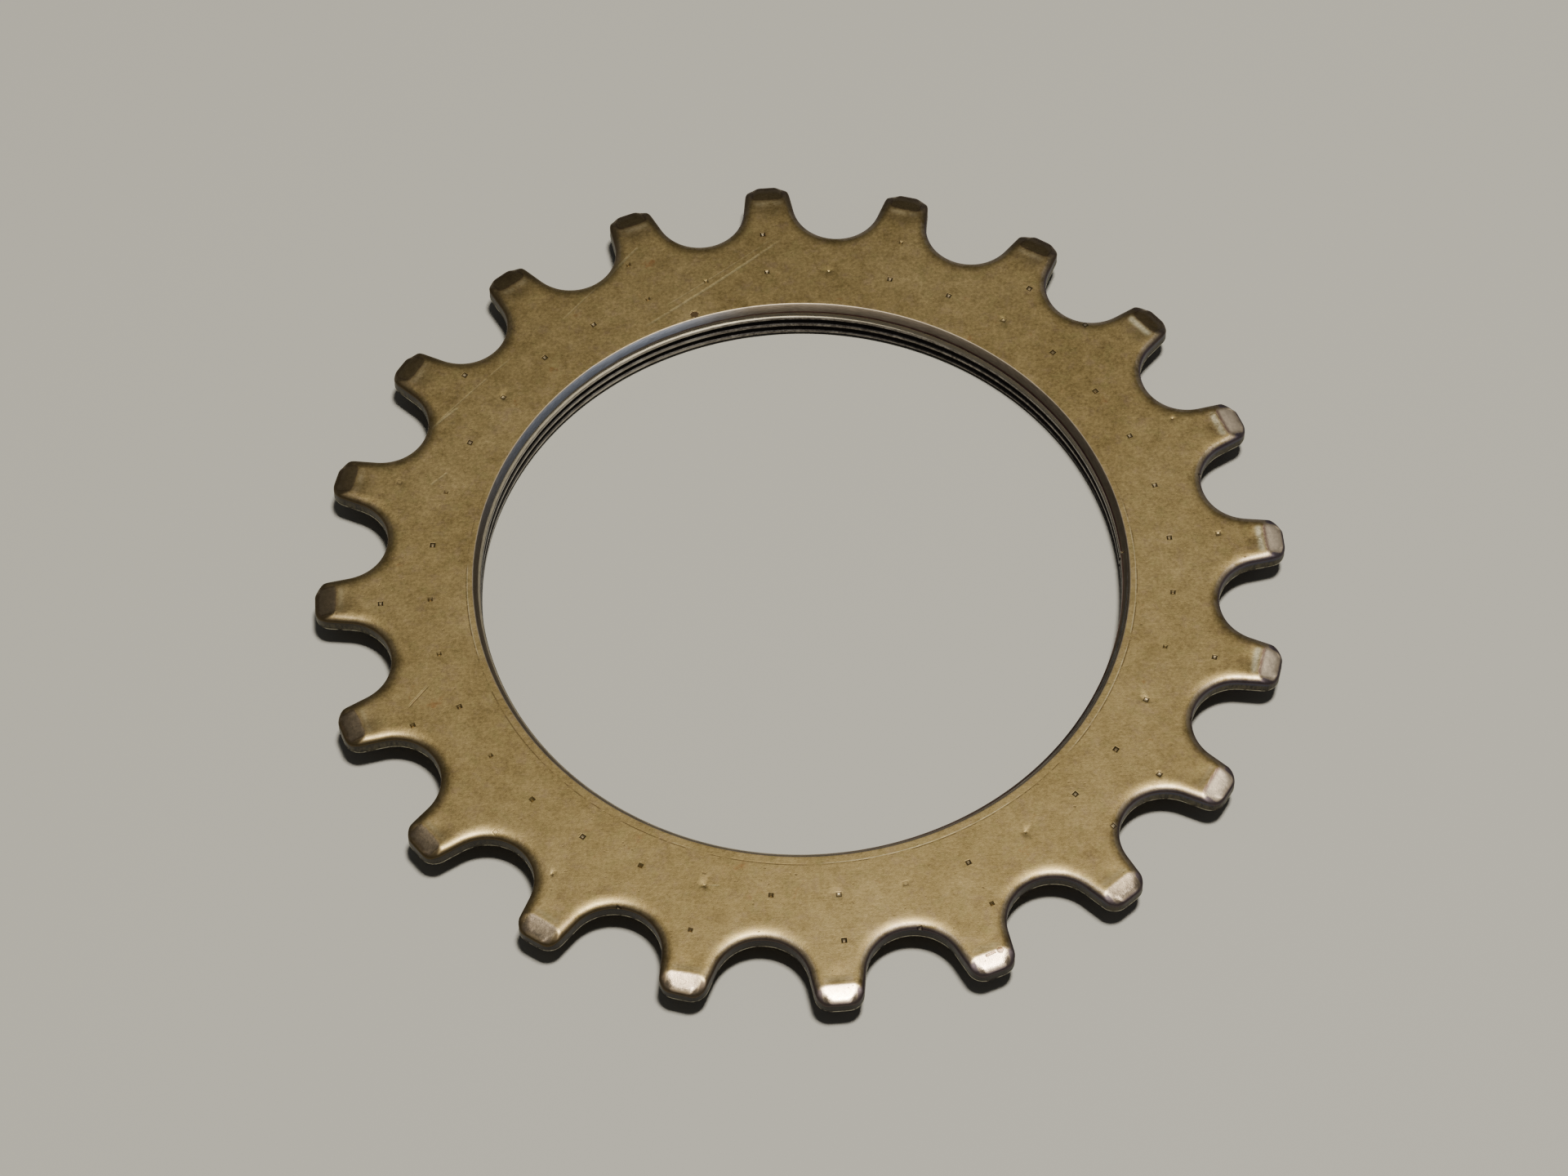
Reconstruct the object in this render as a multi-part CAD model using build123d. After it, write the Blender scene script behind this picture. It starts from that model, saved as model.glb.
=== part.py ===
from build123d import *
import math
import os

# Chain and tooth form
tooth_count = 20
chain_pitch = 12.7
root_radius = 36.7
tip_radius = 42.75
seat_radius = 4.05
flank_angle = 8.5
tip_corner_radius = 1.45

# Plate and boss
total_height = 3.9
plate_thickness = 1.5
edge_roll_radius = 0.55
boss_radius = 33.0
boss_edge_chamfer = 0.5

# Pressed flats on the tooth tips
flat_start_radius = 41.1
flat_slope = 15.0

# Threaded bore
thread_major_radius = 28.65
thread_minor_radius = 28.2
thread_pitch = 1.0
thread_root_width = 0.125
thread_opening_width = 0.75
mouth_radius = 28.85
mouth_depth = 0.65
exit_chamfer = 0.35
ring_radius = 31.0

# Straightening-die dents on the upper face
dent_step = 10.0
dent_start = 91.15
dent_inner_radius = 32.6
dent_outer_radius = 36.95
dent_width = 0.42
dent_depth = 0.17
dent_reach = 4.6

tooth_step = 360.0 / tooth_count
plate_underside = total_height - plate_thickness


def polar(radius, angle):
    """Point at a radius and an angle in degrees."""
    a = math.radians(angle)
    return (radius * math.cos(a), radius * math.sin(a))


def flank_points():
    """Half gap on the +X axis: root, seat middle, flank start, flank end."""
    centre = root_radius + seat_radius
    lean = math.radians(flank_angle + tooth_step / 2)
    root = (root_radius, 0.0)
    middle_turn = (math.pi / 2 - lean) / 2
    middle = (
        centre - seat_radius * math.cos(middle_turn),
        seat_radius * math.sin(middle_turn),
    )
    start = (
        centre - seat_radius * math.sin(lean),
        seat_radius * math.cos(lean),
    )
    run = tip_radius + 2.0 - start[0]
    end = (start[0] + run, start[1] + run * math.tan(lean))
    return root, middle, start, end


def gap_face():
    """One open tooth gap, wider than the tip circle, on the +X axis."""
    root, middle, start, end = flank_points()
    lower = [(x, -y) for x, y in (middle, start, end)]
    outline = Wire(
        [
            ThreePointArc(start, middle, root),
            ThreePointArc(root, lower[0], lower[1]),
            Line(lower[1], lower[2]),
            Line(lower[2], end),
            Line(end, start),
        ]
    )
    return Face(outline)


def toothed_face():
    """Tip circle with the gaps removed and the tooth corners rounded."""
    disc = Circle(tip_radius)
    gap = gap_face()
    first = 90.0 + tooth_step / 2
    gaps = [Rot(0, 0, first + i * tooth_step) * gap for i in range(tooth_count)]
    blank = disc - gaps
    corners = [v for v in blank.vertices() if abs(math.hypot(v.X, v.Y) - tip_radius) < 0.01]
    return fillet(corners, tip_corner_radius)


def toothed_plate():
    """Stamped plate: upper outline rolled over, lower outline square."""
    plate = Pos(0, 0, plate_underside) * extrude(toothed_face(), plate_thickness)
    upper_face = plate.faces().sort_by(Axis.Z)[-1]
    return fillet(upper_face.edges(), edge_roll_radius)


def tip_flats():
    """Ring cutter that leaves a sloping flat on every tooth tip."""
    outer = tip_radius + 2.0
    drop = (outer - flat_start_radius) * math.tan(math.radians(flat_slope))
    section = Plane.XZ * Polygon(
        (flat_start_radius, total_height),
        (outer, total_height - drop),
        (outer, total_height + 1.0),
        (flat_start_radius, total_height + 1.0),
        align=None,
    )
    return revolve(section, Axis.Z)


def boss():
    """Raised ring under the plate that seats on the next part."""
    ring = extrude(Circle(boss_radius), plate_underside + 0.2)
    lower_edge = ring.edges().sort_by(Axis.Z)[0]
    return chamfer(lower_edge, boss_edge_chamfer)


def thread_groove():
    """Helical groove of the bore thread, longer than the bore."""
    length = total_height + 2 * thread_pitch
    path = Helix(thread_pitch, length, thread_minor_radius)
    depth = thread_major_radius - thread_minor_radius
    inner = -0.2
    flare = (thread_opening_width - thread_root_width) / 2 / depth
    inner_half = thread_opening_width / 2 - inner * flare
    outer_half = thread_root_width / 2
    start = Plane(origin=path @ 0, x_dir=(1, 0, 0), z_dir=path % 0)
    profile = start * Polygon(
        (inner, -inner_half),
        (depth, -outer_half),
        (depth, outer_half),
        (inner, inner_half),
        align=None,
    )
    groove = sweep(profile, path=path, is_frenet=True)
    return Pos(0, 0, -thread_pitch) * groove


def frustum(lower_radius, upper_radius, bottom, top):
    """Upright cone section between two heights."""
    cone = Cone(lower_radius, upper_radius, top - bottom)
    return Pos(0, 0, (bottom + top) / 2) * cone


def threaded_ring():
    """Inner ring of the sprocket: a long threaded tube trimmed to height."""
    reach = 2 * thread_pitch
    wall = Circle(ring_radius) - Circle(thread_minor_radius)
    tube = Pos(0, 0, -reach) * extrude(wall, total_height + 2 * reach)
    tube = tube - thread_groove()
    disc = Circle(ring_radius + 5)
    tube = tube - Pos(0, 0, total_height) * extrude(disc, 2 * reach)
    tube = tube - Pos(0, 0, -2 * reach) * extrude(disc, 2 * reach)
    over = 0.1
    slope = (mouth_radius - thread_minor_radius) / mouth_depth
    mouth = frustum(
        thread_minor_radius - over * slope,
        mouth_radius + over * slope,
        total_height - mouth_depth - over,
        total_height + over,
    )
    relief = frustum(
        thread_minor_radius + exit_chamfer + over,
        thread_minor_radius - over,
        -over,
        exit_chamfer + over,
    )
    return tube - mouth - relief


def dent():
    """Small square pyramid, point down, base level with the upper face."""
    point = extrude(Rectangle(dent_width, dent_width), dent_depth, taper=45)
    return Pos(0, 0, total_height) * Rot(180, 0, 0) * point


def dents():
    """Two rings of dents; the outer ring only where a tooth carries it."""
    mark = dent()
    marks = []
    for i in range(round(360 / dent_step)):
        angle = dent_start + i * dent_step
        x, y = polar(dent_inner_radius, angle)
        marks.append(Pos(x, y, 0) * Rot(0, 0, angle) * mark)
        offset = (angle - 90.0 + tooth_step / 2) % tooth_step - tooth_step / 2
        if abs(offset) <= dent_reach:
            x, y = polar(dent_outer_radius, angle)
            marks.append(Pos(x, y, 0) * Rot(0, 0, angle) * mark)
    return marks


def cog():
    """The whole sprocket, one piece of steel."""
    body = toothed_plate() - tip_flats()
    body = body + boss()
    clear = extrude(Circle(ring_radius - 0.5), total_height + 2)
    body = body - Pos(0, 0, -1) * clear
    body = body + threaded_ring()
    return body - dents()


os.makedirs("parts", exist_ok=True)
export_step(cog(), "parts/cog.step")
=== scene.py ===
import math

import bmesh
import bpy
import numpy as np
from mathutils import Matrix, Vector
from mathutils.geometry import delaunay_2d_cdt


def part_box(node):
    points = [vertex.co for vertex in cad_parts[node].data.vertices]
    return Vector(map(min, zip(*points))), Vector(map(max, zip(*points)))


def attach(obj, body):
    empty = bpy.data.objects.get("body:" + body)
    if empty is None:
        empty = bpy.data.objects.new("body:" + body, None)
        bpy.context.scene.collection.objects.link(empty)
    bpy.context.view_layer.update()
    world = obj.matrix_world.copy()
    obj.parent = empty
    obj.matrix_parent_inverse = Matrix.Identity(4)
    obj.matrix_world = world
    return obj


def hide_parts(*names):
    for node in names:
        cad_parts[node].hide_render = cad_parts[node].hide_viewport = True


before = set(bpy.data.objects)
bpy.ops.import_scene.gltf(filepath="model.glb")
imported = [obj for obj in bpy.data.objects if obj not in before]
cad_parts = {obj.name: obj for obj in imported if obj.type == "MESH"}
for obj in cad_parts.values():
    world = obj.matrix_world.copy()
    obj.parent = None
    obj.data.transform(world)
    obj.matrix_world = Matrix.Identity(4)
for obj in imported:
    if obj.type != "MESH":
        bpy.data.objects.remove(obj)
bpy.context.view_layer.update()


# The cog blank: a thin steel plate stamped to a toothed outline, with a boss
# left standing under it. The press rolls the upper edge over, flattens each
# tooth tip at a slope and leaves a fine burr round the lower edge.
MM = 0.001
FACE, ROLLED_EDGE, TOOTH_WALL, BORE_WALL, BOSS_SKIN, BELOW = range(6)
TEETH = 20
STEP = math.tau / TEETH

low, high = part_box("cog")
TIP = (high[0] - low[0]) / 2
HEIGHT = high[2] - low[2]
ROOT = 36.7 * MM
SEAT = 4.05 * MM
FLANK_LEAN = math.radians(8.5) + STEP / 2
CORNER = 1.45 * MM
PLATE = 1.5 * MM
UNDERSIDE = HEIGHT - PLATE
BURR = 0.03 * MM

seat_x = ROOT + SEAT
flank_x = seat_x - SEAT * math.sin(FLANK_LEAN)
flank_y = SEAT * math.cos(FLANK_LEAN)
along = np.array([math.cos(FLANK_LEAN), math.sin(FLANK_LEAN)])
into_tooth = np.array([-math.sin(FLANK_LEAN), math.cos(FLANK_LEAN)])
flank_start = np.array([flank_x, flank_y])


def corner_centre():
    """Centre of the rounding between a flank and the tip, and the flank's length."""
    base = flank_start + CORNER * into_tooth
    reach = TIP - CORNER
    b = base @ along
    c = base @ base - reach * reach
    length = -b + math.sqrt(b * b - c)
    return base + length * along, length


corner, flank_length = corner_centre()
corner_turn = math.atan2(corner[1], corner[0])


def half_gap_outline():
    """Points and outward normals from the middle of a gap to the middle of a tooth."""
    points, normals = [], []
    seat_end = math.pi / 2 - FLANK_LEAN
    for turn in np.linspace(0, seat_end, 22):
        out = np.array([math.cos(turn), -math.sin(turn)])
        points.append(np.array([seat_x, 0]) - SEAT * out)
        normals.append(out)
    for share in np.linspace(0, 1, 9)[1:]:
        points.append(flank_start + share * flank_length * along)
        normals.append(-into_tooth)
    first = math.atan2(-into_tooth[1], -into_tooth[0])
    for turn in np.linspace(first, corner_turn, 10)[1:]:
        out = np.array([math.cos(turn), math.sin(turn)])
        points.append(corner + CORNER * out)
        normals.append(out)
    for turn in np.linspace(corner_turn, STEP / 2, 5)[1:]:
        out = np.array([math.cos(turn), math.sin(turn)])
        points.append(TIP * out)
        normals.append(out)
    return np.array(points), np.array(normals)


def whole_outline():
    """The closed outline, counter-clockwise, with tooth number 0 on +Y."""
    points, normals = half_gap_outline()
    flip = np.array([1, -1])
    gap_points = np.vstack([(points * flip)[::-1][:-1], points])[:-1]
    gap_normals = np.vstack([(normals * flip)[::-1][:-1], normals])[:-1]
    all_points, all_normals = [], []
    for k in range(TEETH):
        turn = math.pi / 2 + STEP / 2 + k * STEP
        spin = np.array([[math.cos(turn), math.sin(turn)], [-math.sin(turn), math.cos(turn)]])
        all_points.append(gap_points @ spin)
        all_normals.append(gap_normals @ spin)
    return np.vstack(all_points), np.vstack(all_normals)


def into_half_gap(xy):
    """Folds points by the teeth's symmetry into one half gap on the +X axis."""
    radius = np.hypot(xy[:, 0], xy[:, 1])
    turn = np.arctan2(xy[:, 1], xy[:, 0]) - math.pi / 2
    turn = np.abs(np.mod(turn, STEP) - STEP / 2)
    return np.stack([radius * np.cos(turn), radius * np.sin(turn)], 1)


def edge_distance(xy):
    """How far each point of the plate is from its outline."""
    p = into_half_gap(xy)
    radius = np.hypot(p[:, 0], p[:, 1])
    best = TIP - radius
    from_seat = p - np.array([seat_x, 0])
    to_seat = np.hypot(from_seat[:, 0], from_seat[:, 1]) - SEAT
    turn = np.arctan2(from_seat[:, 1], -from_seat[:, 0])
    best = np.where(turn <= math.pi / 2 - FLANK_LEAN, np.minimum(best, to_seat), best)
    run = (p - flank_start) @ along
    to_flank = (p - flank_start) @ into_tooth
    on_flank = (run >= 0) & (run <= flank_length)
    best = np.where(on_flank, np.minimum(best, to_flank), best)
    from_corner = p - corner
    to_corner = CORNER - np.hypot(from_corner[:, 0], from_corner[:, 1])
    beyond = (run > flank_length) & (np.arctan2(p[:, 1], p[:, 0]) < corner_turn)
    return np.clip(np.where(beyond, to_corner, best), 0, None)


ROLL_WIDTH_ROOT, ROLL_DEPTH_ROOT = 1.15 * MM, 0.48 * MM
ROLL_WIDTH_FLANK, ROLL_DEPTH_FLANK = 0.95 * MM, 0.45 * MM
ROLL_WIDTH_TIP, ROLL_DEPTH_TIP = 0.24 * MM, 0.20 * MM
ROOT_ROLL_END, FLANK_ROLL_START = 37.0 * MM, 39.4 * MM
FLANK_ROLL_END, TIP_ROLL_START = 41.7 * MM, 42.5 * MM
TIP_ROLL_HALF, TIP_ROLL_FADED = 0.7 * MM, 1.4 * MM


def ease(low_end, high_end, value):
    """Smooth step from 0 to 1."""
    t = np.clip((value - low_end) / (high_end - low_end), 0, 1)
    return t * t * (3 - 2 * t)


def tooth_frame(xy):
    """Tooth number, distance out along its middle line, and distance aside."""
    turn = np.arctan2(xy[:, 1], xy[:, 0]) - math.pi / 2
    number = np.round(turn / STEP).astype(int)
    off = turn - number * STEP
    radius = np.hypot(xy[:, 0], xy[:, 1])
    return number % TEETH, radius * np.cos(off), radius * np.sin(off)


def roll_size(xy):
    """Width and depth of the rolled edge: largest in the gaps, least at the tips."""
    radius = np.hypot(xy[:, 0], xy[:, 1])
    _, _, aside = tooth_frame(xy)
    flank = ease(ROOT_ROLL_END, FLANK_ROLL_START, radius)
    tip = ease(FLANK_ROLL_END, TIP_ROLL_START, radius)
    tip = tip * (1 - ease(TIP_ROLL_HALF, TIP_ROLL_FADED, np.abs(aside)))
    width = ROLL_WIDTH_ROOT + (ROLL_WIDTH_FLANK - ROLL_WIDTH_ROOT) * flank
    depth = ROLL_DEPTH_ROOT + (ROLL_DEPTH_FLANK - ROLL_DEPTH_ROOT) * flank
    width = width + (ROLL_WIDTH_TIP - width) * tip
    depth = depth + (ROLL_DEPTH_TIP - depth) * tip
    return width, depth


def roll_drop(xy, distance):
    """How far the rolled edge lowers the upper face."""
    width, depth = roll_size(xy)
    share = np.clip(1 - distance / width, 0, 1)
    return depth * (1 - np.sqrt(1 - share * share))


# Each flat differs a little from the next in its start, slope and twist, and
# the press leaves a slight hollow in the face behind it.
FLAT_START = 40.85 * MM
FLAT_BLEND = 0.22 * MM
FLAT_SLOPE = math.tan(math.radians(15))
FLAT_SIDE_DROP = 0.5 * MM
HOLLOW_BEHIND, HOLLOW_LENGTH, HOLLOW_WIDTH = 0.75 * MM, 0.8 * MM, 1.15 * MM
random = np.random.default_rng(7)
flat_starts = FLAT_START + random.normal(0, 0.08, TEETH) * MM
flat_slopes = FLAT_SLOPE * (1 + random.normal(0, 0.07, TEETH))
flat_twists = random.normal(0, 0.03, TEETH)
hollow_depths = np.abs(random.normal(0.04, 0.012, TEETH)) * MM
flat_reaches = (1.76 + 0.16 * np.cos(np.arange(TEETH) * STEP + math.radians(135))) * MM


def flat_reach(number, out, aside):
    """How far a point lies beyond the inner edge of its tooth's flat."""
    over = out + flat_twists[number] * aside - flat_starts[number]
    return over - FLAT_SIDE_DROP * (aside / flat_reaches[number]) ** 6


def flat_drop(xy):
    """How far the sloping flat lowers a tooth tip, with the hollow behind it."""
    number, out, aside = tooth_frame(xy)
    over = flat_reach(number, out, aside)
    rounded = np.where(
        over < FLAT_BLEND,
        np.clip(over, 0, None) ** 2 / (2 * FLAT_BLEND),
        over - FLAT_BLEND / 2,
    )
    hollow_out = (out - flat_starts[number] + HOLLOW_BEHIND) / HOLLOW_LENGTH
    hollow_aside = aside / HOLLOW_WIDTH
    hollow = np.exp(-(hollow_out**2 + hollow_aside**2) * 1.5)
    return rounded * flat_slopes[number] + hollow * hollow_depths[number]


def upper_height(xy, distance):
    """Height of the upper face."""
    return HEIGHT - roll_drop(xy, distance) - flat_drop(xy)


# The bore: turned out of the plate and boss, with a fine right-hand thread, a
# 45-degree mouth where the thread starts, and a small chamfer at the boss end.
CREST = 28.2 * MM
THREAD_DEPTH = 0.45 * MM
THREAD_PHASE = 0.905
THREAD_PITCH = 1.0 * MM
CREST_END, ROOT_START, ROOT_END = 0.25, 0.5625, 0.6875
MOUTH = 28.85 * MM
MOUTH_DEPTH = 0.65 * MM
EXIT = 0.35 * MM
AROUND_BORE = 540


def thread_radius(turn, z):
    """Wall radius of the threaded bore at an angle and a height."""
    phase = np.mod(z / THREAD_PITCH - turn / math.tau + THREAD_PHASE, 1.0)
    rise = np.interp(phase, [0, CREST_END, ROOT_START, ROOT_END, 1], [0, 0, 1, 1, 0])
    return CREST + THREAD_DEPTH * rise


def mouth_radius(z):
    """Radius of the mouth cone and the exit chamfer, whichever is larger."""
    slope = (MOUTH - CREST) / MOUTH_DEPTH
    upper = MOUTH + (z - HEIGHT) * slope
    lower = CREST + EXIT - z
    return np.maximum(upper, lower)


def bore_section(turn):
    """Radius and height of the bore wall at one angle, from the boss end up."""
    fine = np.linspace(0, HEIGHT, 361)
    inside = thread_radius(turn, fine) >= mouth_radius(fine)
    first, last = fine[inside][0], fine[inside][-1]
    offset = turn / math.tau - THREAD_PHASE
    heights = []
    for lap in range(-1, round(HEIGHT / THREAD_PITCH) + 3):
        for stop in (0, 0.125, CREST_END, 0.354, 0.458, ROOT_START, 0.625, ROOT_END, 0.792, 0.896):
            heights.append((lap + stop + offset) * THREAD_PITCH)
    heights = np.clip(np.array(heights), first, last)
    heights = np.concatenate([[0], heights, [HEIGHT]])
    return np.maximum(thread_radius(turn, heights), mouth_radius(heights)), heights


class Shell:
    """Collects vertices and faces of one closed skin, with each face's region."""

    def __init__(self):
        self.vertices, self.faces, self.regions = [], [], []
        self.count = 0

    def add(self, points):
        """Adds points and returns their numbers."""
        points = np.asarray(points, float)
        self.vertices.append(points)
        start = self.count
        self.count += len(points)
        return np.arange(start, self.count)

    def band(self, lower, upper, region):
        """Joins two closed rings of the same length with four-sided faces."""
        after_lower, after_upper = np.roll(lower, -1), np.roll(upper, -1)
        for a, b, c, d in zip(lower, after_lower, after_upper, upper):
            self.faces.append((int(a), int(b), int(c), int(d)))
            self.regions.append(region)

    def sheet(self, outer, inner, points, edges, height, region, up):
        """Fills the space between two rings with triangles over given points."""
        rings = [np.asarray(ring) for ring in (outer, inner)]
        flat = [Vector(p) for ring in rings for p in ring] + [Vector(p) for p in points]
        n_outer, n_inner = len(rings[0]), len(rings[1])
        links = [(i, (i + 1) % n_outer) for i in range(n_outer)]
        links += [(n_outer + i, n_outer + (i + 1) % n_inner) for i in range(n_inner)]
        fixed = n_outer + n_inner
        links += [(fixed + a, fixed + b) for a, b in edges]
        spots, _, triangles, _, _, _ = delaunay_2d_cdt(flat, links, [], 1, 1e-9)
        xy = np.array([tuple(p) for p in spots])
        numbers = self.add(np.column_stack([xy, height(xy)]))
        middle = xy[np.array(triangles)].mean(1)
        keep = outside_hole(middle, rings[1])
        for triangle in np.array(triangles)[keep]:
            face = [int(numbers[i]) for i in triangle]
            self.faces.append(tuple(face if up else face[::-1]))
            self.regions.append(region)


def outside_hole(points, ring):
    """Which points lie outside a nearly round ring about the middle."""
    turn = np.arctan2(ring[:, 1], ring[:, 0])
    order = np.argsort(turn)
    radius = np.hypot(ring[:, 0], ring[:, 1])[order]
    here = np.arctan2(points[:, 1], points[:, 0])
    limit = np.interp(here, turn[order], radius, period=math.tau)
    return np.hypot(points[:, 0], points[:, 1]) > limit


def in_metal(points):
    """Which points are on the metal side of the toothed outline."""
    p = into_half_gap(points)
    from_seat = np.hypot(p[:, 0] - seat_x, p[:, 1]) - SEAT
    run = (p - flank_start) @ along
    to_flank = (p - flank_start) @ into_tooth
    in_gap = (from_seat < 0) & (run < 0) | (run >= 0) & (to_flank < 0)
    return ~in_gap


def circle(radius, count, z=None):
    """A ring of points."""
    turn = np.arange(count) * math.tau / count
    xy = np.stack([radius * np.cos(turn), radius * np.sin(turn)], 1)
    return xy if z is None else np.column_stack([xy, np.full(count, z)])


shell = Shell()
outline, outward = whole_outline()


def inset(distance):
    """The outline moved into the metal."""
    return outline - outward * np.reshape(distance, (-1, 1))


# Rings of points run round the outline down the rolled edge, the wall and the burr.
rings = []
outline_width, _ = roll_size(outline)
for turn in np.radians([30, 38, 46, 54, 62, 69, 76, 83, 90]):
    distance = outline_width * (1 - math.sin(turn)) + BURR
    distance = np.minimum(distance, CORNER * 0.9)
    xy = inset(distance)
    z = HEIGHT - flat_drop(xy) - roll_drop(xy, np.maximum(distance - BURR, 0))
    rings.append(np.column_stack([xy, z]))
edge_height = rings[-1][:, 2]
for share in (0.25, 0.5, 0.75, 0.93):
    rings.append(np.column_stack([inset(BURR), edge_height + (UNDERSIDE - edge_height) * share]))
rings.append(np.column_stack([inset(0.004 * MM), np.full(len(outline), UNDERSIDE)]))
rings.append(np.column_stack([inset(0.12 * MM), np.full(len(outline), UNDERSIDE + 0.02 * MM)]))
numbers = [shell.add(ring) for ring in rings]
for upper, lower in zip(numbers[:8], numbers[1:9]):
    shell.band(lower, upper, ROLLED_EDGE)
for upper, lower in zip(numbers[8:-2], numbers[9:-1]):
    shell.band(lower, upper, TOOTH_WALL)
shell.band(numbers[-1], numbers[-2], BELOW)

# Square dents from the straightening die, on rings about the bore. A few
# hardly took, as on the real plate.
DENT_STEP = math.radians(10)
DENT_TURN = math.radians(91.15)
DENT_RINGS = (32.6 * MM, 36.95 * MM)
DENT_WIDTH = 0.42 * MM
DENT_DEPTH = 0.16 * MM
DENT_REACH = math.radians(6)
DENT_MARGIN = 0.9 * MM
dent_points, dent_edges, dent_tips = [], [], []
for ring_radius in DENT_RINGS:
    for k in range(36):
        turn = DENT_TURN + k * DENT_STEP
        strength = float(np.clip(random.normal(0.95, 0.3), 0.3, 1.25))
        off = (turn - math.pi / 2 + STEP / 2) % STEP - STEP / 2
        centre = ring_radius * np.array([math.cos(turn), math.sin(turn)])
        on_gap = abs(off) > DENT_REACH and ring_radius > ROOT
        if on_gap or edge_distance(centre[None])[0] < DENT_MARGIN:
            continue
        half = DENT_WIDTH / 2 * (0.6 + 0.4 * strength)
        first = len(dent_points)
        for quarter in range(4):
            a = turn + math.pi / 4 + quarter * math.pi / 2
            dent_points.append(centre + half * math.sqrt(2) * np.array([math.cos(a), math.sin(a)]))
        dent_points.append(centre)
        dent_tips.append((centre, DENT_DEPTH * strength))
        dent_edges += [(first + q, first + (q + 1) % 4) for q in range(4)]
        dent_edges += [(first + q, first + 4) for q in range(4)]


DENT_CLEARANCE = 0.4 * MM


def open_points(spacing, inner, outer, margin):
    """An even scatter of points on the upper face, clear of its edge and dents."""
    count = round(2 * outer / spacing)
    axis = (np.arange(count) - count / 2) * spacing
    x, y = np.meshgrid(axis, axis)
    x = x + (np.arange(count) % 2)[:, None] * spacing / 2
    xy = np.stack([x.ravel(), y.ravel()], 1)
    radius = np.hypot(xy[:, 0], xy[:, 1])
    xy = xy[(radius > inner) & (radius < outer)]
    xy = xy[in_metal(xy)]
    xy = xy[edge_distance(xy) > margin]
    tips = np.array([tip for tip, _ in dent_tips])
    gaps = np.linalg.norm(xy[:, None] - tips[None], axis=2).min(1)
    return xy[gaps > DENT_CLEARANCE]


def face_height(xy):
    """Height of the upper face with its dents."""
    z = upper_height(xy, np.maximum(edge_distance(xy) - BURR, 0))
    for tip, depth in dent_tips:
        z[np.linalg.norm(xy - tip, axis=1) < 1e-6] -= depth
    return z


WEB_END, FLANKS_END = 35.2 * MM, 39.9 * MM
scatter = np.vstack([
    open_points(0.9 * MM, MOUTH + 0.5 * MM, WEB_END, 0.9 * MM),
    open_points(0.36 * MM, WEB_END, FLANKS_END, 0.66 * MM),
    open_points(0.17 * MM, FLANKS_END, TIP, 0.50 * MM),
])
MOUTH_RIM = 0.30 * MM
upper_ring = rings[0][:, :2]
mouth_edge = circle(MOUTH + MOUTH_RIM, AROUND_BORE)
face_points = dent_points + list(scatter)
shell.sheet(upper_ring, mouth_edge, face_points, dent_edges, face_height, FACE, True)

# The threaded wall, from the rounded mouth edge down to the boss.
turns = np.arange(AROUND_BORE) * math.tau / AROUND_BORE
sections = [bore_section(turn) for turn in turns]
radii = np.array([section[0] for section in sections])
heights = np.array([section[1] for section in sections])
wall = []
for level in range(radii.shape[1]):
    x, y = radii[:, level] * np.cos(turns), radii[:, level] * np.sin(turns)
    wall.append(np.column_stack([x, y, heights[:, level]]))
wall[-1] = circle(MOUTH - 0.04 * MM, AROUND_BORE, HEIGHT - 0.022 * MM)
for step_out, step_down in ((0.0, 0.007), (0.04, 0.0015), (0.09, 0), (MOUTH_RIM / MM, 0)):
    wall.append(circle(MOUTH + step_out * MM, AROUND_BORE, HEIGHT - step_down * MM))
wall = [shell.add(level) for level in wall]
for level, (lower, upper) in enumerate(zip(wall[:-1], wall[1:])):
    shell.band(upper, lower, FACE if level >= len(wall) - 3 else BORE_WALL)

# The underside: flat plate round the boss, the boss wall and its seat.
BOSS = 33.0 * MM
BOSS_EDGE = 0.5 * MM
AROUND_BOSS = 360
PLATE_LIFT = 0.02 * MM
boss_rings = [
    circle(BOSS + 0.15 * MM, AROUND_BOSS, UNDERSIDE + PLATE_LIFT),
    circle(BOSS + 0.04 * MM, AROUND_BOSS, UNDERSIDE - 0.02 * MM),
    circle(BOSS, AROUND_BOSS, UNDERSIDE - 0.12 * MM),
    circle(BOSS, AROUND_BOSS, BOSS_EDGE + 0.04 * MM),
    circle(BOSS - 0.03 * MM, AROUND_BOSS, BOSS_EDGE - 0.03 * MM),
    circle(BOSS - BOSS_EDGE + 0.04 * MM, AROUND_BOSS, 0.03 * MM),
    circle(BOSS - BOSS_EDGE - 0.03 * MM, AROUND_BOSS, 0),
    circle(BOSS - 2.0 * MM, AROUND_BOSS, 0),
]
boss_numbers = [shell.add(ring) for ring in boss_rings]
for upper, lower in zip(boss_numbers[:-1], boss_numbers[1:]):
    shell.band(lower, upper, BOSS_SKIN)


def underside_height(xy):
    """The underside is flat, a hair above the burr."""
    return np.full(len(xy), UNDERSIDE + PLATE_LIFT)


shell.sheet(rings[-1][:, :2], boss_rings[0][:, :2], [], [], underside_height, BELOW, False)


def seat_height(xy):
    """The boss seat is flat on the ground."""
    return np.zeros(len(xy))


exit_ring = np.column_stack([radii[:, 0] * np.cos(turns), radii[:, 0] * np.sin(turns)])
shell.sheet(boss_rings[-1][:, :2], exit_ring, [], [], seat_height, BOSS_SKIN, False)


SHARP = math.radians(32)
SEAM_GAP = 2e-6


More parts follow.
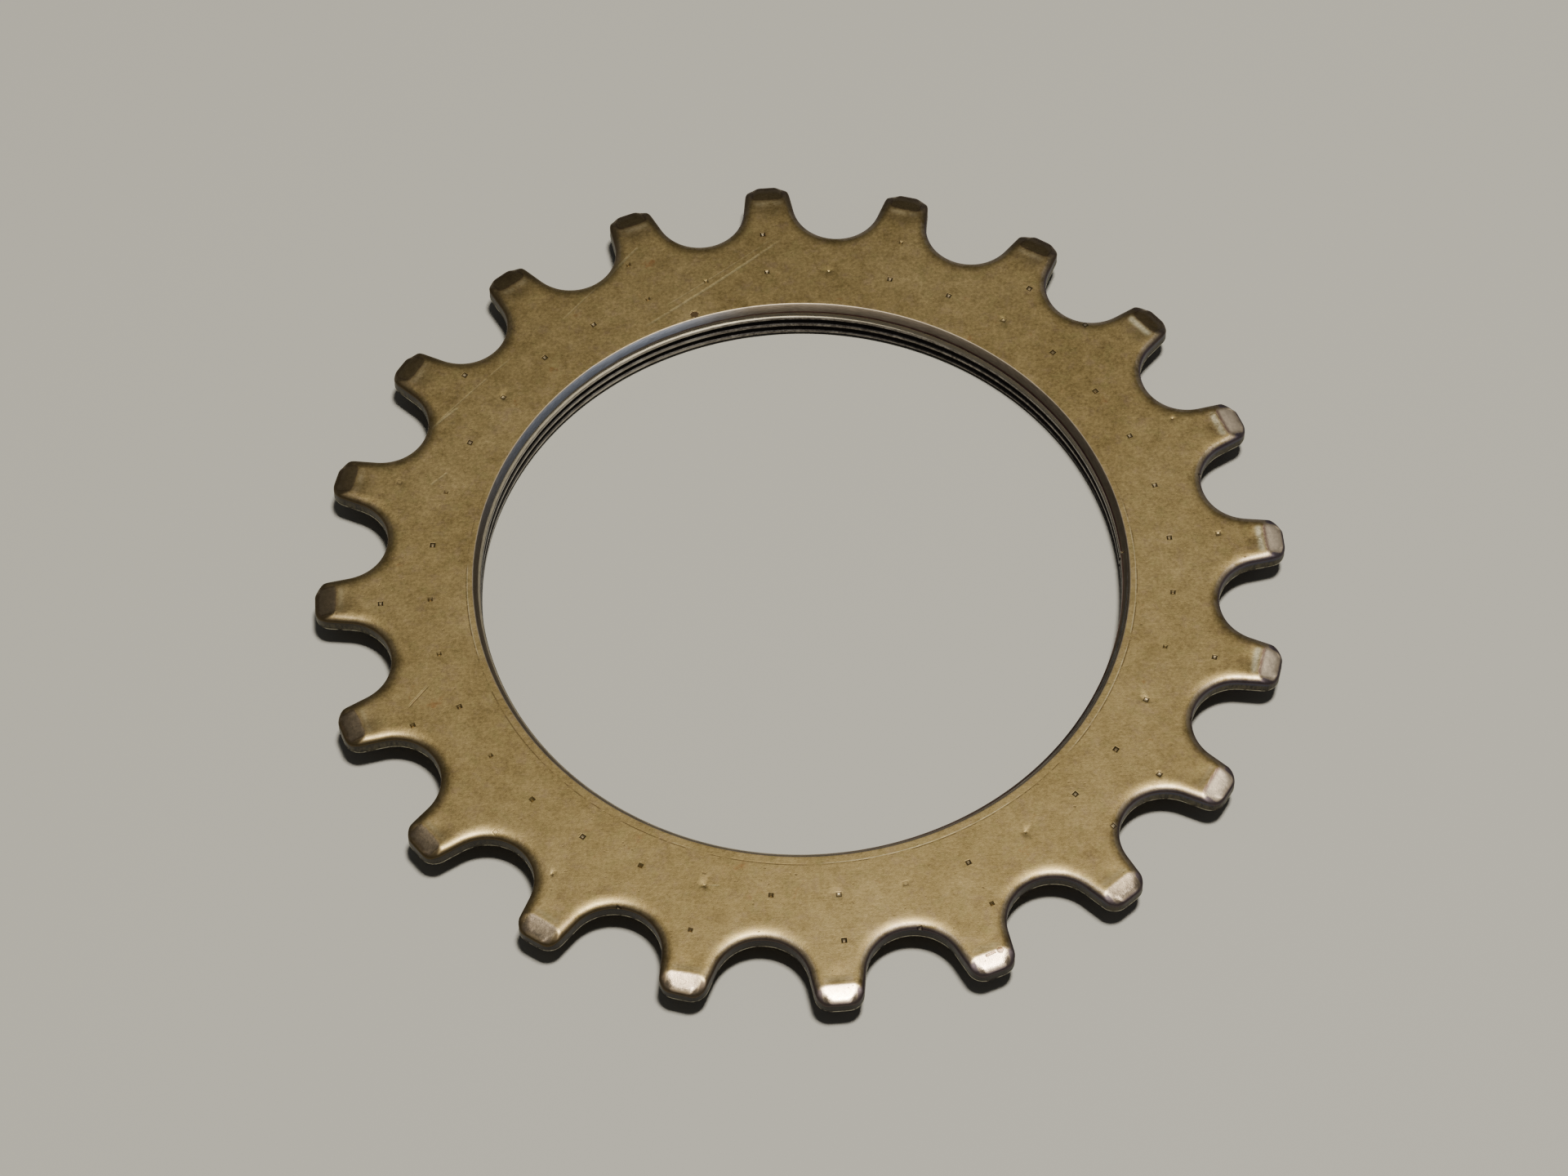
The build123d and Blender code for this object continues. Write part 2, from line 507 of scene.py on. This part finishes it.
def build_cog():
    """Makes the mesh, joins its seams and marks its sharp edges."""
    mesh = bpy.data.meshes.new("cog_body")
    mesh.from_pydata([tuple(v) for v in np.vstack(shell.vertices)], [], shell.faces)
    region = mesh.attributes.new("region", "INT", "FACE")
    region.data.foreach_set("value", shell.regions)
    bm = bmesh.new()
    bm.from_mesh(mesh)
    bmesh.ops.remove_doubles(bm, verts=bm.verts, dist=SEAM_GAP)
    bmesh.ops.dissolve_degenerate(bm, dist=1e-7, edges=bm.edges)
    for face in bm.faces:
        face.smooth = True
    for edge in bm.edges:
        if len(edge.link_faces) == 2:
            edge.smooth = edge.calc_face_angle(0) < SHARP
    bm.to_mesh(mesh)
    bm.free()
    cog = bpy.data.objects.new("cog_body", mesh)
    bpy.context.scene.collection.objects.link(cog)
    return cog


cog = build_cog()
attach(cog, "root")
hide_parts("cog")


# The steel's skin: years of handling have tarnished the satin plate to a
# bronze brown, finely grained and pitted, with rubbed edges and stray
# scratches. The walls are dark and the bore's mouth and crests are bare.
# Some colour is painted light: painted reflections on the rolled edges,
# walls and bore mouth, painted highlights on the rubbed edges, flats, lip,
# burr and first thread flank, and painted shade on the far and left tips,
# the front of the face, the front walls and the creases behind the flats.
class Socket:
    """A shader output that takes part in Python arithmetic."""

    def __init__(self, graph, socket):
        self.graph, self.socket = graph, socket

    def _sum(self, operation, *values):
        return self.graph.node("ShaderNodeMath", {"operation": operation}, values)

    def __add__(self, other):
        return self._sum("ADD", self, other)

    def __radd__(self, other):
        return self._sum("ADD", other, self)

    def __sub__(self, other):
        return self._sum("SUBTRACT", self, other)

    def __rsub__(self, other):
        return self._sum("SUBTRACT", other, self)

    def __mul__(self, other):
        return self._sum("MULTIPLY", self, other)

    def __rmul__(self, other):
        return self._sum("MULTIPLY", other, self)

    def __truediv__(self, other):
        return self._sum("DIVIDE", self, other)

    def __abs__(self):
        return self._sum("ABSOLUTE", self)

    def most(self, other):
        return self._sum("MAXIMUM", self, other)

    def smooth(self, start, end):
        """0 before start, 1 after end, smooth between."""
        settings = {"interpolation_type": "SMOOTHSTEP"}
        inputs = {"Value": self, "From Min": start, "From Max": end}
        return self.graph.node("ShaderNodeMapRange", settings, inputs)


class Finish:
    """A material's node graph."""

    def __init__(self, name):
        self.material = bpy.data.materials.new(name)
        self.material.use_nodes = True
        self.tree = self.material.node_tree
        self.tree.nodes.clear()

    def node(self, kind, settings=None, inputs=(), output=0):
        """Adds a node, sets it, feeds its sockets, and returns one output."""
        made = self.tree.nodes.new(kind)
        for name, value in (settings or {}).items():
            if name == "ramp":
                self.fill_ramp(made.color_ramp, value)
            else:
                setattr(made, name, value)
        pairs = inputs.items() if isinstance(inputs, dict) else enumerate(inputs)
        for name, value in pairs:
            if isinstance(value, Socket):
                self.tree.links.new(value.socket, made.inputs[name])
            else:
                made.inputs[name].default_value = value
        return Socket(self, made.outputs[output])

    @staticmethod
    def fill_ramp(ramp, stops):
        """Sets a colour ramp's stops from (place, colour) pairs."""
        while len(ramp.elements) < len(stops):
            ramp.elements.new(0.5)
        for element, (place, colour) in zip(ramp.elements, stops):
            element.position = place
            element.color = (*colour, 1)

    def blend(self, share, first, second):
        """Mixes two colours."""
        settings = {"data_type": "RGBA", "blend_type": "MIX", "clamp_factor": True}
        first, second = (c if isinstance(c, Socket) else (*c, 1) for c in (first, second))
        return self.node("ShaderNodeMix", settings, {0: share, 6: first, 7: second}, 2)

    def noise(self, place, scale, detail=3.0, rough=0.5, distortion=0.0):
        """Noise between 0 and 1."""
        inputs = {"Vector": place, "Scale": scale, "Detail": detail}
        inputs.update({"Roughness": rough, "Distortion": distortion})
        return self.node("ShaderNodeTexNoise", {}, inputs)

    def stretched(self, place, scale, turn=0.0, shift=(0, 0, 0)):
        """Coordinates stretched by different amounts along each axis."""
        inputs = {"Vector": place, "Scale": scale, "Rotation": (0, 0, turn), "Location": shift}
        return self.node("ShaderNodeMapping", {}, inputs)

    def patches(self, place, shift, scale, detail, rough):
        """Noise from another part of the same field, so patches don't line up."""
        return self.noise(self.stretched(place, (1, 1, 1), 0, shift), scale, detail, rough)

    def stored(self, name):
        """A number stored on the mesh's points."""
        return self.node("ShaderNodeAttribute", {"attribute_name": name}, (), "Fac")


def scratch(x, y, start, end, width, waver=0.0):
    """A thin straight line between two places on the face, in millimetres."""
    run_x, run_y = end[0] - start[0], end[1] - start[1]
    length = math.hypot(run_x, run_y)
    run_x, run_y = run_x / length, run_y / length
    dx, dy = x - start[0], y - start[1]
    along_it = dx * run_x + dy * run_y
    aside = dy * run_x - dx * run_y
    bow = along_it * (1 / length) - 0.5
    aside = aside + bow * bow * (4 * waver) - waver
    line = 1 - abs(aside).smooth(width * 0.35, width)
    ends = along_it.smooth(0, length * 0.12) * (1 - along_it.smooth(length * 0.85, length))
    return line * ends


def surfaced(finish, inputs):
    """Ends a material with one metal surface."""
    surface = finish.node("ShaderNodeBsdfPrincipled", {}, inputs)
    output = finish.tree.nodes.new("ShaderNodeOutputMaterial")
    finish.tree.links.new(surface.socket, output.inputs[0])
    return finish.material


def places(finish):
    """The point in millimetres, its x, y and z, its radius and its turn."""
    point = finish.node("ShaderNodeTexCoord", {}, (), "Object")
    point = finish.node("ShaderNodeVectorMath", {"operation": "SCALE"}, {0: point, 3: 1000.0})
    parts = finish.tree.nodes.new("ShaderNodeSeparateXYZ")
    finish.tree.links.new(point.socket, parts.inputs[0])
    x, y, z = (Socket(finish, parts.outputs[axis]) for axis in range(3))
    radius = finish.node("ShaderNodeMath", {"operation": "SQRT"}, [x * x + y * y])
    turn = finish.node("ShaderNodeMath", {"operation": "ARCTAN2"}, [y, x])
    return point, x, y, z, radius, turn


def apart(finish, point, spot):
    """Distance from a spot on the face, in millimetres."""
    inputs = {0: finish.stretched(point, (1, 1, 0)), 1: (*spot, 0)}
    return finish.node("ShaderNodeVectorMath", {"operation": "DISTANCE"}, inputs, 1)


def dent_marks(finish, radius, turn):
    """Dark outlines and worn pips of the square dents, each of its own strength."""
    outline_share, pip_share = 0, 0
    for ring_radius in DENT_RINGS:
        ring_mm = ring_radius / MM
        steps = (turn - DENT_TURN) * (1 / DENT_STEP)
        number = finish.node("ShaderNodeMath", {"operation": "ROUND"}, [steps])
        aside = abs((steps - number) * (DENT_STEP * ring_mm))
        out = abs(radius - ring_mm)
        reach = aside.most(out)
        seed = {"W": number * 1.37 + ring_mm}
        luck = finish.node("ShaderNodeTexWhiteNoise", {"noise_dimensions": "1D"}, seed)
        ring = reach.smooth(0.10, 0.16) * (1 - reach.smooth(0.19, 0.27))
        pip = 1 - reach.smooth(0.06, 0.13)
        outline_share = ring * luck.smooth(0.10, 0.75) + outline_share
        pip_share = pip * luck.smooth(0.30, 0.90) + pip_share
    return outline_share, pip_share


def tarnish(finish, point, radius, mottle, tone):
    """Bronze-brown tarnish with violet, olive, sooty and rusty patches, and specks."""
    colour = finish.node("ShaderNodeValToRGB", {"ramp": [
        (0.34, (0.150, 0.102, 0.034)),
        (0.46, (0.232, 0.166, 0.064)),
        (0.55, (0.282, 0.206, 0.086)),
        (0.68, (0.360, 0.272, 0.126)),
    ]}, [tone])
    violet = finish.patches(point, (7, 3, 0), 0.9, 4, 0.7).smooth(0.50, 0.70)
    colour = finish.blend(violet * 0.30, colour, (0.245, 0.165, 0.112))
    olive = finish.patches(point, (40, 9, 3), 0.7, 4, 0.7).smooth(0.50, 0.70)
    colour = finish.blend(olive * 0.30, colour, (0.215, 0.184, 0.066))
    soot = finish.patches(point, (3, 77, 0), 0.55, 5, 0.75).smooth(0.50, 0.68)
    toward_teeth = radius.smooth(33.0, 37.5)
    colour = finish.blend(soot * toward_teeth * 0.45, colour, (0.120, 0.078, 0.032))
    rust = finish.patches(point, (5, 5, 5), 0.42, 3, 0.6).smooth(0.63, 0.72)
    colour = finish.blend(rust * mottle.smooth(0.5, 0.65) * 0.6, colour, (0.190, 0.078, 0.022))
    specks = finish.noise(point, 1.9, 2, 0.5).smooth(0.71, 0.79)
    return finish.blend(specks * 0.55, colour, (0.060, 0.036, 0.018)), specks


def tooth_wear(finish, colour, x, y, radius, mottle):
    """Rubbed rolls, bare flats and painted light: painted reflections on the rolls, painted highlights on the
    rubbed rolls, flats and lip, and painted shade on the far and left tips, the crease and the front of the
    face. Returns the colour and a change of gloss.
    """
    edge, flat, lip = (finish.stored(name) for name in ("rolled", "flat", "lip"))
    left, front = 0.0 - x, 0.0 - y
    # Painted reflection: the outer part of each rolled edge is darkened, blue-violet on the right side.
    edge_reflection = edge.smooth(0.60, 0.90)
    right_reflection_side = x.smooth(-24.0, 8.0)
    # Rubbed wear on the rolls, painted paler and stronger on the right side as a painted highlight.
    rubbed_and_highlight = edge.smooth(0.25, 0.55) * mottle.smooth(0.30, 0.55) * (0.25 + right_reflection_side * 0.75)
    colour = finish.blend(rubbed_and_highlight * 0.45, colour, (0.520, 0.430, 0.330))
    edge_reflection_tint = finish.blend(right_reflection_side, (0.070, 0.050, 0.028), (0.045, 0.036, 0.070))
    colour = finish.blend(edge_reflection * 0.85, colour, edge_reflection_tint)
    # The flats are paler as bare pressed metal, and far paler toward the front as a painted highlight.
    bare_and_glint = flat * (0.12 + 0.50 * front.smooth(-22.0, 14.0))
    colour = finish.blend(bare_and_glint, colour, (0.500, 0.390, 0.280))
    # Painted shade: the tips on the far and left sides are darkened.
    far_left_shade = y.smooth(6.0, 30.0).most(left.smooth(20.0, 40.0) * 0.75)
    tip = (radius + (mottle - 0.5) * 1.6).smooth(38.2, 41.1) * far_left_shade
    colour = finish.blend(tip * (0.72 - flat * 0.25), colour, (0.085, 0.062, 0.030))
    # Painted highlight: the flats of the right teeth are painted near white.
    highlight_side = x.smooth(22.0, 34.0) * (1 - y.smooth(14.0, 24.0)) * (1 - front.smooth(24.0, 36.0))
    colour = finish.blend(flat * highlight_side, colour, (0.960, 0.780, 0.560))
    # Painted shade: a dark red line in the crease behind those flats.
    crease = finish.stored("crease")
    colour = finish.blend(crease * highlight_side * 0.8, colour, (0.130, 0.045, 0.035))
    # Painted highlight: a pale gold band on the lip before each flat.
    colour = finish.blend(lip * mottle.smooth(0.30, 0.50) * 0.85, colour, (0.86, 0.76, 0.48))
    # Painted shade: the border of the flats on the far and left sides is darkened further.
    brim = flat.smooth(0.05, 0.45) * (1 - flat.smooth(0.55, 0.98))
    colour = finish.blend(brim * far_left_shade * 0.45, colour, (0.075, 0.040, 0.030))
    # Painted shade: the front of the face is darkened, apart from the flats.
    front_shade = front.smooth(-16.0, 30.0) * (1 - flat)
    colour = finish.blend(front_shade * 0.22, colour, (0.105, 0.075, 0.030))
    gloss = edge * 0.13 + flat * 0.13 + lip * 0.08 - edge_reflection * 0.20 - flat * highlight_side * 0.09
    return colour, gloss


def scratches(finish, colour, point, x, y, mottle, grain):
    """Pale scratches and dark scrapes. Returns the colour and how deep each kind cuts."""
    pale = scratch(x, y, (-12.6, 27.0), (1.2, 36.4), 0.16, -0.15)
    for start, end, width, waver, strength in (
        ((-10.4, 29.3), (0.6, 36.7), 0.09, -0.1, 0.6),
        ((-19.9, 28.4), (-12.0, 36.6), 0.10, 0, 0.7),
        ((-14.4, 34.2), (-12.2, 36.5), 0.14, 0, 1),
        ((-32.0, 17.5), (-24.2, 25.0), 0.10, 0.1, 0.7),
        ((-32.0, 17.5), (-29.3, 19.8), 0.15, 0, 1),
        ((-32.2, 11.4), (-30.6, 12.7), 0.12, 0, 1),
        ((-34.9, -11.5), (-33.0, -9.3), 0.09, 0, 0.6),
        ((-10.6, -30.8), (-9.2, -31.0), 0.09, 0, 0.6),
    ):
        pale = pale.most(scratch(x, y, start, end, width, waver) * strength)
    pale = pale * mottle.smooth(0.30, 0.50)
    colour = finish.blend(pale * 0.24, colour, (0.62, 0.54, 0.30))
    scraped = scratch(x, y, (-34.8, -11.6), (-32.9, -9.4), 0.07) * 0.5
    scraped = scraped.most(scratch(x, y, (12.3, -39.3), (13.3, -38.9), 0.14))
    for spot, raggedness, inner, outer in (((-7.6, 28.3), 0.8, 0.30, 0.50), ((13.6, -38.8), 0.3, 0.20, 0.34)):
        away = apart(finish, point, spot) + (grain - 0.5) * raggedness
        scraped = scraped.most(1 - away.smooth(inner, outer))
    colour = finish.blend(scraped * 0.8, colour, (0.070, 0.036, 0.018))
    return colour, pale, scraped


def turned_line(finish, colour, point, y, clouds, mottle):
    """A faint line turned round the bore, a hair off centre, painted on the front half only: painted shade in
    the line and a painted highlight on its inner side.
    """
    from_middle = apart(finish, point, (0.0, -0.2))
    # Painted shade in the line and a painted highlight beside it, on the front half only.
    front = (0.0 - y).smooth(-16.0, 2.0)
    line = (1 - abs(from_middle - 29.42).smooth(0.02, 0.08)) * front * mottle.smooth(0.40, 0.52)
    colour = finish.blend(line * 0.75, colour, (0.080, 0.052, 0.020))
    lit = (1 - abs(from_middle - 29.33).smooth(0.02, 0.06)) * front * clouds.smooth(0.50, 0.60)
    return finish.blend(lit * 0.30, colour, (0.62, 0.54, 0.34)), line


def tarnished_steel():
    """The plate's face, rolled edges, flats and underside."""
    finish = Finish("tarnished_steel")
    point, x, y, _, radius, turn = places(finish)
    clouds = finish.noise(point, 0.10, 4, 0.6, 0.4)
    mottle = finish.noise(point, 0.60, 5, 0.65, 0.3)
    grain = finish.noise(point, 3.4, 4, 0.72)
    fine = finish.noise(point, 11.0, 3, 0.7)
    brushed = finish.noise(finish.stretched(point, (0.35, 4.5, 1.0), 0.9), 1.0, 3, 0.6)
    tone = clouds * 0.30 + mottle * 0.24 + grain * 0.26 + fine * 0.20
    colour, specks = tarnish(finish, point, radius, mottle, tone)
    colour, gloss = tooth_wear(finish, colour, x, y, radius, mottle)
    outlines, pips = dent_marks(finish, radius, turn)
    colour = finish.blend(outlines * 0.85, colour, (0.035, 0.024, 0.014))
    colour = finish.blend(pips * 0.7, colour, (0.60, 0.52, 0.38))
    colour, pale, scraped = scratches(finish, colour, point, x, y, mottle, grain)
    colour, line = turned_line(finish, colour, point, y, clouds, mottle)
    shine = 0.425 - gloss + (mottle - 0.5) * 0.10 + (grain - 0.5) * 0.22 + specks * 0.2
    depth = mottle * 0.20 + grain * 0.55 + fine * 0.45 + brushed * 0.25
    depth = depth - pale * 0.35 - specks * 0.5 - outlines * 0.8 - line * 0.3 - scraped * 1.2
    bump = finish.node("ShaderNodeBump", {}, {"Strength": 0.40, "Distance": 0.00003, "Height": depth})
    return surfaced(finish, {"Base Color": colour, "Roughness": shine, "Metallic": 0.93, "Normal": bump})


def dark_wall():
    """The sheared wall round the teeth: dark, with a painted blue reflection above on the right, painted
    shade on the front walls, and a burr below painted bright as a glint.
    """
    finish = Finish("dark_wall")
    point, x, y, z, _, _ = places(finish)
    streaks = finish.noise(finish.stretched(point, (1, 1, 0.35)), 3.0, 4, 0.7)
    blotch = finish.noise(point, 0.9, 4, 0.65)
    colour = finish.blend(streaks.smooth(0.35, 0.65), (0.020, 0.017, 0.013), (0.090, 0.078, 0.050))
    bottom = UNDERSIDE / MM
    above = z.smooth(bottom + 0.55, bottom + 1.05)
    # Upper wall brown on the left and blue on the right, the blue a painted reflection.
    tint = finish.blend(x.smooth(-24.0, 8.0), (0.042, 0.034, 0.026), (0.066, 0.066, 0.112))
    colour = finish.blend(above * 0.85, colour, tint)
    # Painted shade: the walls of the front teeth, except on the right, are painted near black.
    front_wall_shade = (0.0 - y).smooth(14.0, 34.0) * (1 - x.smooth(14.0, 30.0))
    colour = finish.blend(front_wall_shade * 0.75, colour, (0.017, 0.014, 0.016))
    # The burr along the bottom edge is bare metal, painted bright as a glint.
    burr = 1 - (z + (streaks - 0.5) * 0.10).smooth(bottom + 0.02, bottom + 0.08)
    colour = finish.blend(burr * blotch.smooth(0.38, 0.55) * 0.9, colour, (0.55, 0.52, 0.40))
    shine = 0.46 + (streaks - 0.5) * 0.3
    depth = streaks * 0.7 + blotch * 0.3
    bump = finish.node("ShaderNodeBump", {}, {"Strength": 0.6, "Distance": 0.00005, "Height": depth})
    return surfaced(finish, {"Base Color": colour, "Roughness": shine, "Metallic": 0.85, "Normal": bump})


def cut_steel():
    """The bore: a mouth discoloured brown, a bare first flank and crests, grime in the grooves. Painted
    light: a blue reflection on the mouth and lighter threads on the far left, and the first flank painted
    near white as a highlight.
    """
    finish = Finish("cut_steel")
    point, x, y, z, radius, turn = places(finish)
    mottle = finish.noise(point, 0.6, 4, 0.65)
    grain = finish.noise(finish.stretched(point, (1, 1, 9)), 1.6, 3, 0.6)
    crumbs = finish.noise(point, 3.0, 4, 0.7)
    colour = finish.blend(mottle.smooth(0.35, 0.65), (0.30, 0.27, 0.23), (0.52, 0.48, 0.42))
    crest = CREST / MM
    into_groove = (radius + (crumbs - 0.5) * 0.12).smooth(crest + 0.04, crest + 0.13)
    below = HEIGHT / MM - z
    limits = [1.5 * math.pi, -0.5 * math.pi]
    around = finish.node("ShaderNodeMath", {"operation": "WRAP"}, [turn, *limits])
    used = (below + around / math.tau).smooth(1.50, 1.62)
    dirt = into_groove * used
    colour = finish.blend(dirt * 0.96, colour, (0.022, 0.019, 0.017))
    # Painted light: on the far left the grime in the threads is painted lighter and the mouth a blue-grey
    # reflection.
    far_left_painted_light = (0.0 - x).smooth(1.0, 12.0) * y.smooth(2.0, 20.0)
    dull = used * (1 - into_groove) * crumbs.smooth(0.40, 0.62)
    dulled = (used * 0.55 + dull * 0.4) * (1 - far_left_painted_light * 0.7)
    colour = finish.blend(dulled, colour, (0.060, 0.050, 0.045))
    # The bare first flank, painted near white as a highlight.
    first_flank = (1 - used) * below.smooth(0.66, 0.72) * radius.smooth(crest + 0.02, crest + 0.06)
    colour = finish.blend(first_flank * 0.9, colour, (0.90, 0.78, 0.54))
    cone = radius - MOUTH / MM + below
    mouth = (1 - abs(cone).smooth(0.03, 0.06)) * (1 - below.smooth(0.56, 0.62))
    # The mouth is tinted brown, blue-grey on the far left as a painted reflection.
    tint = finish.blend(far_left_painted_light, (0.150, 0.118, 0.080), (0.215, 0.235, 0.285))
    colour = finish.blend(mouth * 0.94, colour, tint)
    seam = below.smooth(0.50, 0.56) * (1 - below.smooth(0.72, 0.80))
    colour = finish.blend(seam * 0.85, colour, (0.085, 0.030, 0.024))
    lip = 1 - below.smooth(0.025, 0.060)
    colour = finish.blend(lip * mottle.smooth(0.25, 0.45), colour, (0.27, 0.22, 0.155))
    shine = 0.27 + dirt * 0.25 + mouth * 0.18 + first_flank * 0.13 + (grain - 0.5) * 0.2
    bump = finish.node("ShaderNodeBump", {}, {"Strength": 0.3, "Distance": 0.00002, "Height": grain})
    return surfaced(finish, {"Base Color": colour, "Roughness": shine, "Metallic": 1.0, "Normal": bump})


cog.data.materials.append(tarnished_steel())
cog.data.materials.append(cut_steel())
cog.data.materials.append(dark_wall())
for polygon, region in zip(cog.data.polygons, cog.data.attributes["region"].data):
    polygon.material_index = {BORE_WALL: 1, TOOTH_WALL: 2}.get(region.value, 0)


def lay_by_point(name, values):
    """Stores one number on every vertex for the materials to read."""
    stored = cog.data.attributes.new(name, "FLOAT", "POINT")
    stored.data.foreach_set("value", np.clip(values, 0, 1).astype(np.float32))


# Where each point lies, stored for the materials: rolled edge, flat, the
# crease behind a flat, and the lip before it. The tarnish marks wear from
# the press and the chain there, and also painted light: reflections on the
# rolled edges, highlights on the flats and lip, and shade in the crease.
spots = np.array([tuple(v.co) for v in cog.data.vertices])
on_top = spots[:, 2] > UNDERSIDE + 0.3 * MM
to_edge = edge_distance(spots[:, :2])
number, out, aside = tooth_frame(spots[:, :2])
reach_past = flat_reach(number, out, aside)
from_axis = np.hypot(spots[:, 0], spots[:, 1])
far_out = ease(40.3 * MM, 41.8 * MM, from_axis)
beside = ease(1.20 * MM, 1.55 * MM, np.abs(aside))
lay_by_point("rolled", np.maximum(1 - to_edge / ((0.90 + 0.45 * far_out) * MM), beside * far_out))
# The lip band is weighted toward the right side, where its painted highlight is strongest.
right_glint_side = 0.5 + 0.5 * np.cos(np.arctan2(spots[:, 1], spots[:, 0]) - math.radians(8))
lip = np.exp(-((reach_past + 0.38 * MM) / (0.24 * MM)) ** 2)
lip = lip * (1 - ease(1.0 * MM, 1.5 * MM, np.abs(aside)))
lay_by_point("lip", lip * (0.10 + 0.90 * ease(0.86, 0.97, right_glint_side)) * on_top)
crease = ease(0, 0.08 * MM, reach_past) * (1 - ease(0.16 * MM, 0.42 * MM, reach_past))
lay_by_point("crease", crease * (1 - beside) * (1 - ease(41.7 * MM, 41.9 * MM, from_axis)) * on_top)
flat_share = ease(0.02 * MM, 0.16 * MM, reach_past) * ease(0.16 * MM, 0.36 * MM, to_edge)
lay_by_point("flat", flat_share * (1 - beside) * on_top)


# The stage: a pale floor, soft light from straight above and a camera at the
# height the cog is best seen from.
FLOOR = 1.5
floor_mesh = bpy.data.meshes.new("floor")
floor_corners = [(-FLOOR, -FLOOR, 0), (FLOOR, -FLOOR, 0), (FLOOR, FLOOR, 0), (-FLOOR, FLOOR, 0)]
floor_mesh.from_pydata(floor_corners, [], [(0, 1, 2, 3)])
floor = bpy.data.objects.new("floor", floor_mesh)
floor.location.z = low[2]
floor_paint = {"Base Color": (0.385, 0.368, 0.312, 1), "Roughness": 0.7}
floor_mesh.materials.append(surfaced(Finish("floor_paint"), floor_paint))
bpy.context.scene.collection.objects.link(floor)


LAMP_PLACE = Vector((0.075, -0.040, 0.80))
lamp_data = bpy.data.lights.new("overhead", "AREA")
lamp_data.size, lamp_data.energy, lamp_data.color = 0.11, 9.4, (1.0, 0.98, 0.94)
lamp = bpy.data.objects.new("overhead", lamp_data)
lamp.location = LAMP_PLACE
lamp.rotation_euler = (-LAMP_PLACE).to_track_quat("-Z", "Y").to_euler()
bpy.context.scene.collection.objects.link(lamp)

world = bpy.data.worlds.new("room")
world.use_nodes = True
background = world.node_tree.nodes["Background"]
background.inputs[0].default_value = (0.80, 0.82, 0.85, 1)
background.inputs[1].default_value = 0.10
bpy.context.scene.world = world

camera_data = bpy.data.cameras.new("camera")
camera = bpy.data.objects.new("camera", camera_data)
bpy.context.scene.collection.objects.link(camera)
bpy.context.scene.camera = camera
camera_data.sensor_width = 36.0
camera_data.lens = 96.57
CAMERA_TURN = math.radians(-3.57)
CAMERA_HEIGHT = math.radians(57.45)
CAMERA_ROLL = math.radians(-0.824)
CAMERA_REACH = 368.2 * MM
AIM_ASIDE, AIM_BACK = -1.536 * MM, -2.022 * MM
right = Vector((math.cos(CAMERA_TURN), math.sin(CAMERA_TURN), 0))
ahead = Vector((-math.sin(CAMERA_TURN), math.cos(CAMERA_TURN), 0))
back = -ahead * math.cos(CAMERA_HEIGHT) + Vector((0, 0, math.sin(CAMERA_HEIGHT)))
aim = right * AIM_ASIDE + ahead * AIM_BACK + Vector((0, 0, HEIGHT))
up = back.cross(right)
tilted_right = right * math.cos(CAMERA_ROLL) + up * math.sin(CAMERA_ROLL)
tilted_up = up * math.cos(CAMERA_ROLL) - right * math.sin(CAMERA_ROLL)
place = aim + back * CAMERA_REACH
camera.matrix_world = Matrix((
    (tilted_right.x, tilted_up.x, back.x, place.x),
    (tilted_right.y, tilted_up.y, back.y, place.y),
    (tilted_right.z, tilted_up.z, back.z, place.z),
    (0, 0, 0, 1),
))
camera_data.clip_start, camera_data.clip_end = 0.01, 10
